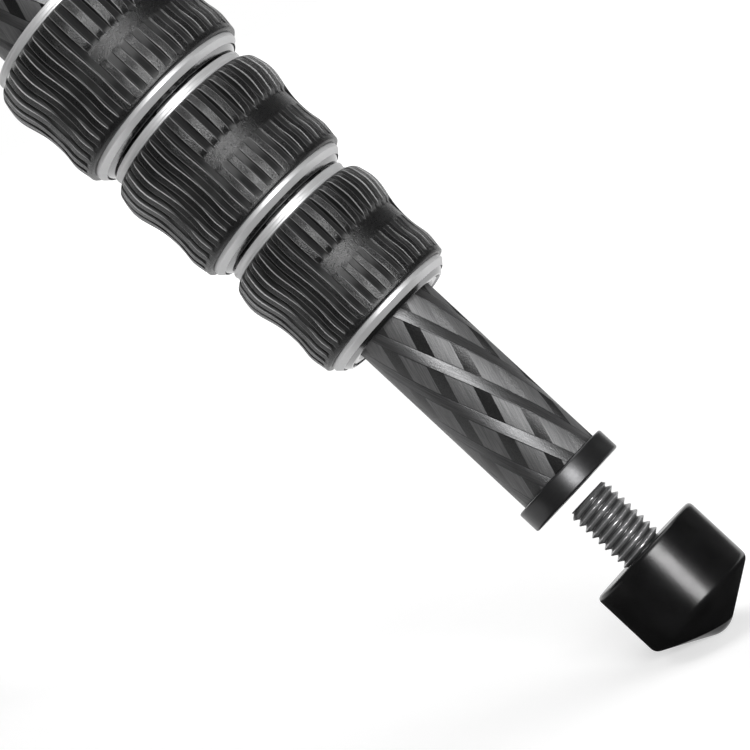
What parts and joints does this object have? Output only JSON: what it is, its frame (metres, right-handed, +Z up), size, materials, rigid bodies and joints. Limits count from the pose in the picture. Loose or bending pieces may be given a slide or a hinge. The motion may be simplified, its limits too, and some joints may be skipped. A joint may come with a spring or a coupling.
{
  "type": "travel tripod",
  "caption": "Compact camera tripod with twist-lock telescoping carbon legs that fold up round a sliding centre column with a camera platform.",
  "frame": {"origin": "on the floor, under the axis of the centre column", "axes": "+Z up along the centre column; leg 1 points to -Y, leg 2 to +X +Y, leg 3 to -X +Y"},
  "size_m": [0.4112, 0.3595, 0.4611],
  "materials": {
    "carbon": "satin woven carbon fibre with crossing tapes",
    "rubber": "matt ribbed",
    "foot_rubber": "smooth satin",
    "bright_aluminium": "turned, bright",
    "black_anodised": "black satin anodised",
    "stud_steel": "grey rolled thread",
    "casting": "fine textured dark paint",
    "latch_metal": "satin",
    "steel": "brushed",
    "nylon": "matt",
    "black_plastic": "satin"
  },
  "bodies": {
    "spider": {"spider": "casting", "hinge_bolts": "steel", "column_bush": "nylon"},
    "column": {"column_tube": "carbon", "top_plate": "casting", "camera_screw": "steel", "column_cap": "black_plastic"},
    "column_lock": {"column_lock_ring": "bright_aluminium", "column_lock_grip": "rubber"},
    "leg_1_upper": {"leg_1_head": "casting", "leg_1_upper_tube": "carbon"},
    "leg_1_latch": {"leg_1_latch": "latch_metal"},
    "leg_1_lock_a": {"leg_1_ring_a": "bright_aluminium", "leg_1_grip_a": "rubber"},
    "leg_1_section_2": {"leg_1_tube_2": "carbon"},
    "leg_1_lock_b": {"leg_1_ring_b": "bright_aluminium", "leg_1_grip_b": "rubber"},
    "leg_1_section_3": {"leg_1_tube_3": "carbon"},
    "leg_1_lock_c": {"leg_1_ring_c": "bright_aluminium", "leg_1_grip_c": "rubber"},
    "leg_1_section_4": {"leg_1_tube_4": "carbon", "leg_1_end_ring": "black_anodised"},
    "leg_1_foot": {"leg_1_foot_stud": "stud_steel", "leg_1_foot_pad": "foot_rubber"},
    "leg_2_upper": {"leg_2_head": "casting", "leg_2_upper_tube": "carbon"},
    "leg_2_latch": {"leg_2_latch": "latch_metal"},
    "leg_2_lock_a": {"leg_2_ring_a": "bright_aluminium", "leg_2_grip_a": "rubber"},
    "leg_2_section_2": {"leg_2_tube_2": "carbon"},
    "leg_2_lock_b": {"leg_2_ring_b": "bright_aluminium", "leg_2_grip_b": "rubber"},
    "leg_2_section_3": {"leg_2_tube_3": "carbon"},
    "leg_2_lock_c": {"leg_2_ring_c": "bright_aluminium", "leg_2_grip_c": "rubber"},
    "leg_2_section_4": {"leg_2_tube_4": "carbon", "leg_2_end_ring": "black_anodised"},
    "leg_2_foot": {"leg_2_foot_stud": "stud_steel", "leg_2_foot_pad": "foot_rubber"},
    "leg_3_upper": {"leg_3_head": "casting", "leg_3_upper_tube": "carbon"},
    "leg_3_latch": {"leg_3_latch": "latch_metal"},
    "leg_3_lock_a": {"leg_3_ring_a": "bright_aluminium", "leg_3_grip_a": "rubber"},
    "leg_3_section_2": {"leg_3_tube_2": "carbon"},
    "leg_3_lock_b": {"leg_3_ring_b": "bright_aluminium", "leg_3_grip_b": "rubber"},
    "leg_3_section_3": {"leg_3_tube_3": "carbon"},
    "leg_3_lock_c": {"leg_3_ring_c": "bright_aluminium", "leg_3_grip_c": "rubber"},
    "leg_3_section_4": {"leg_3_tube_4": "carbon", "leg_3_end_ring": "black_anodised"},
    "leg_3_foot": {"leg_3_foot_stud": "stud_steel", "leg_3_foot_pad": "foot_rubber"}
  },
  "joints": [
    {"name": "leg_1_swing", "type": "hinge", "parent": "spider", "child": "leg_1_upper", "pos_m": [0, -0.04, 0.41985], "axis": [-1, 0, 0], "range_deg": [-24, 156]},
    {"name": "leg_1_latch_lock", "type": "slide", "parent": "leg_1_upper", "child": "leg_1_latch", "axis": [0, 0.4067, 0.9135], "range_m": [0, 0.003]},
    {"name": "leg_1_lock_a_twist", "type": "hinge", "parent": "leg_1_upper", "child": "leg_1_lock_a", "pos_m": [0, -0.1643, 0.14067], "axis": [0, -0.4067, -0.9135], "range_deg": [0, 150]},
    {"name": "leg_1_section_2_slide", "type": "slide", "parent": "leg_1_upper", "child": "leg_1_section_2", "axis": [0, -0.4067, -0.9135], "range_m": [0, 0.25]},
    {"name": "leg_1_lock_b_twist", "type": "hinge", "parent": "leg_1_section_2", "child": "leg_1_lock_b", "pos_m": [0, -0.17585, 0.11473], "axis": [0, -0.4067, -0.9135], "range_deg": [0, 150]},
    {"name": "leg_1_section_3_slide", "type": "slide", "parent": "leg_1_section_2", "child": "leg_1_section_3", "axis": [0, -0.4067, -0.9135], "range_m": [0, 0.25]},
    {"name": "leg_1_lock_c_twist", "type": "hinge", "parent": "leg_1_section_3", "child": "leg_1_lock_c", "pos_m": [0, -0.1874, 0.08878], "axis": [0, -0.4067, -0.9135], "range_deg": [0, 150]},
    {"name": "leg_1_section_4_slide", "type": "slide", "parent": "leg_1_section_3", "child": "leg_1_section_4", "axis": [0, -0.4067, -0.9135], "range_m": [-0.0405, 0.2095]},
    {"name": "leg_1_foot_screw", "type": "slide", "parent": "leg_1_section_4", "child": "leg_1_foot", "axis": [0, -0.4067, -0.9135], "range_m": [-0.0162, 0.012]},
    {"name": "leg_2_swing", "type": "hinge", "parent": "spider", "child": "leg_2_upper", "pos_m": [0.03464, 0.02, 0.41985], "axis": [0.5, -0.866, 0], "range_deg": [-24, 156]},
    {"name": "leg_2_latch_lock", "type": "slide", "parent": "leg_2_upper", "child": "leg_2_latch", "axis": [-0.3522, -0.2034, 0.9135], "range_m": [0, 0.003]},
    {"name": "leg_2_lock_a_twist", "type": "hinge", "parent": "leg_2_upper", "child": "leg_2_lock_a", "pos_m": [0.14229, 0.08215, 0.14067], "axis": [0.3522, 0.2034, -0.9135], "range_deg": [0, 150]},
    {"name": "leg_2_section_2_slide", "type": "slide", "parent": "leg_2_upper", "child": "leg_2_section_2", "axis": [0.3522, 0.2034, -0.9135], "range_m": [0, 0.25]},
    {"name": "leg_2_lock_b_twist", "type": "hinge", "parent": "leg_2_section_2", "child": "leg_2_lock_b", "pos_m": [0.15229, 0.08793, 0.11473], "axis": [0.3522, 0.2034, -0.9135], "range_deg": [0, 150]},
    {"name": "leg_2_section_3_slide", "type": "slide", "parent": "leg_2_section_2", "child": "leg_2_section_3", "axis": [0.3522, 0.2034, -0.9135], "range_m": [0, 0.25]},
    {"name": "leg_2_lock_c_twist", "type": "hinge", "parent": "leg_2_section_3", "child": "leg_2_lock_c", "pos_m": [0.16229, 0.0937, 0.08878], "axis": [0.3522, 0.2034, -0.9135], "range_deg": [0, 150]},
    {"name": "leg_2_section_4_slide", "type": "slide", "parent": "leg_2_section_3", "child": "leg_2_section_4", "axis": [0.3522, 0.2034, -0.9135], "range_m": [-0.0567, 0.1933]},
    {"name": "leg_2_foot_screw", "type": "slide", "parent": "leg_2_section_4", "child": "leg_2_foot", "axis": [0.3522, 0.2034, -0.9135], "range_m": [0, 0.0282]},
    {"name": "leg_3_swing", "type": "hinge", "parent": "spider", "child": "leg_3_upper", "pos_m": [-0.03464, 0.02, 0.41985], "axis": [0.5, 0.866, 0], "range_deg": [-24, 156]},
    {"name": "leg_3_latch_lock", "type": "slide", "parent": "leg_3_upper", "child": "leg_3_latch", "axis": [0.3522, -0.2034, 0.9135], "range_m": [0, 0.003]},
    {"name": "leg_3_lock_a_twist", "type": "hinge", "parent": "leg_3_upper", "child": "leg_3_lock_a", "pos_m": [-0.14229, 0.08215, 0.14067], "axis": [-0.3522, 0.2034, -0.9135], "range_deg": [0, 150]},
    {"name": "leg_3_section_2_slide", "type": "slide", "parent": "leg_3_upper", "child": "leg_3_section_2", "axis": [-0.3522, 0.2034, -0.9135], "range_m": [0, 0.25]},
    {"name": "leg_3_lock_b_twist", "type": "hinge", "parent": "leg_3_section_2", "child": "leg_3_lock_b", "pos_m": [-0.15229, 0.08793, 0.11473], "axis": [-0.3522, 0.2034, -0.9135], "range_deg": [0, 150]},
    {"name": "leg_3_section_3_slide", "type": "slide", "parent": "leg_3_section_2", "child": "leg_3_section_3", "axis": [-0.3522, 0.2034, -0.9135], "range_m": [0, 0.25]},
    {"name": "leg_3_lock_c_twist", "type": "hinge", "parent": "leg_3_section_3", "child": "leg_3_lock_c", "pos_m": [-0.16229, 0.0937, 0.08878], "axis": [-0.3522, 0.2034, -0.9135], "range_deg": [0, 150]},
    {"name": "leg_3_section_4_slide", "type": "slide", "parent": "leg_3_section_3", "child": "leg_3_section_4", "axis": [-0.3522, 0.2034, -0.9135], "range_m": [-0.0567, 0.1933]},
    {"name": "leg_3_foot_screw", "type": "slide", "parent": "leg_3_section_4", "child": "leg_3_foot", "axis": [-0.3522, 0.2034, -0.9135], "range_m": [0, 0.0282]},
    {"name": "column_slide", "type": "slide", "parent": "spider", "child": "column", "axis": [0, 0, 1], "range_m": [0, 0.22]},
    {"name": "column_lock_twist", "type": "hinge", "parent": "spider", "child": "column_lock", "pos_m": [0, 0, 0.43715], "axis": [0, 0, 1], "range_deg": [0, 150]}
  ]
}
